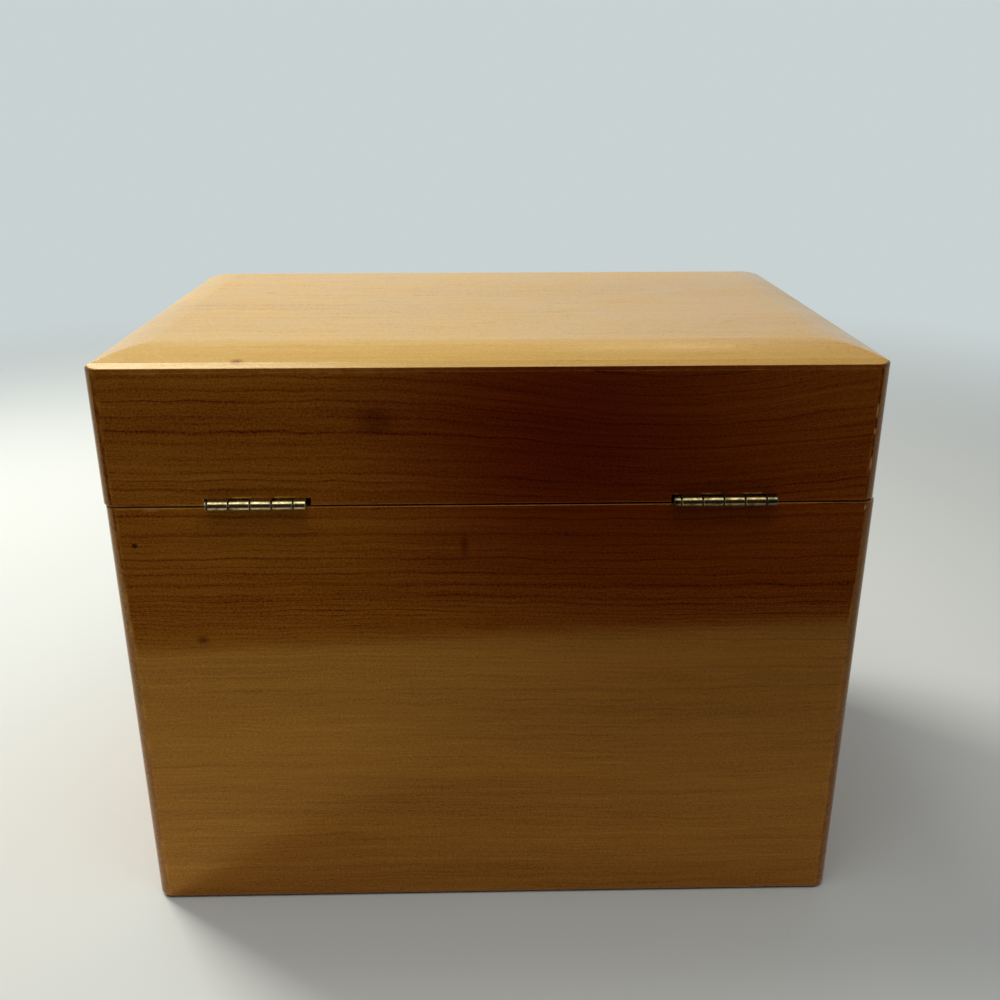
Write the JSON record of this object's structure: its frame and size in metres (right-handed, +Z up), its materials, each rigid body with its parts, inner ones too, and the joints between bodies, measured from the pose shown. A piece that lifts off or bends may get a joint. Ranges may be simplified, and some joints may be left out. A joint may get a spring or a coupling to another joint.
{
  "type": "recipe card box",
  "caption": "Lidded wooden box for recipe cards, with a shaped top board and two small barrel hinges at the back.",
  "frame": {"origin": "centre of the underside of the wooden box, on the surface it stands on", "axes": "+X to the right as seen from the front, +Y to the back where the hinges are, +Z up"},
  "size_m": [0.1844, 0.1257, 0.152],
  "materials": {
    "varnished_maple": "glossy amber varnish on maple",
    "hinge_brass": "plated, slightly tarnished",
    "screw_brass": "bright"
  },
  "bodies": {
    "base": {"base_front_board": "varnished_maple", "base_back_board": "varnished_maple", "base_left_board": "varnished_maple", "base_right_board": "varnished_maple", "base_bottom_board": "varnished_maple", "left_hinge_base_leaf": "hinge_brass", "left_hinge_pin": "hinge_brass", "right_hinge_base_leaf": "hinge_brass", "right_hinge_pin": "hinge_brass", "left_hinge_base_screws": "screw_brass", "right_hinge_base_screws": "screw_brass"},
    "lid": {"lid_top_board": "varnished_maple", "lid_front_rail": "varnished_maple", "lid_back_rail": "varnished_maple", "lid_left_rail": "varnished_maple", "lid_right_rail": "varnished_maple", "left_hinge_lid_leaf": "hinge_brass", "right_hinge_lid_leaf": "hinge_brass", "left_hinge_lid_screws": "screw_brass", "right_hinge_lid_screws": "screw_brass"}
  },
  "joints": [
    {"name": "lid_hinge", "type": "hinge", "parent": "base", "child": "lid", "pos_m": [0, 0.0631, 0.11615], "axis": [-1, 0, 0], "range_deg": [0, 180]}
  ]
}
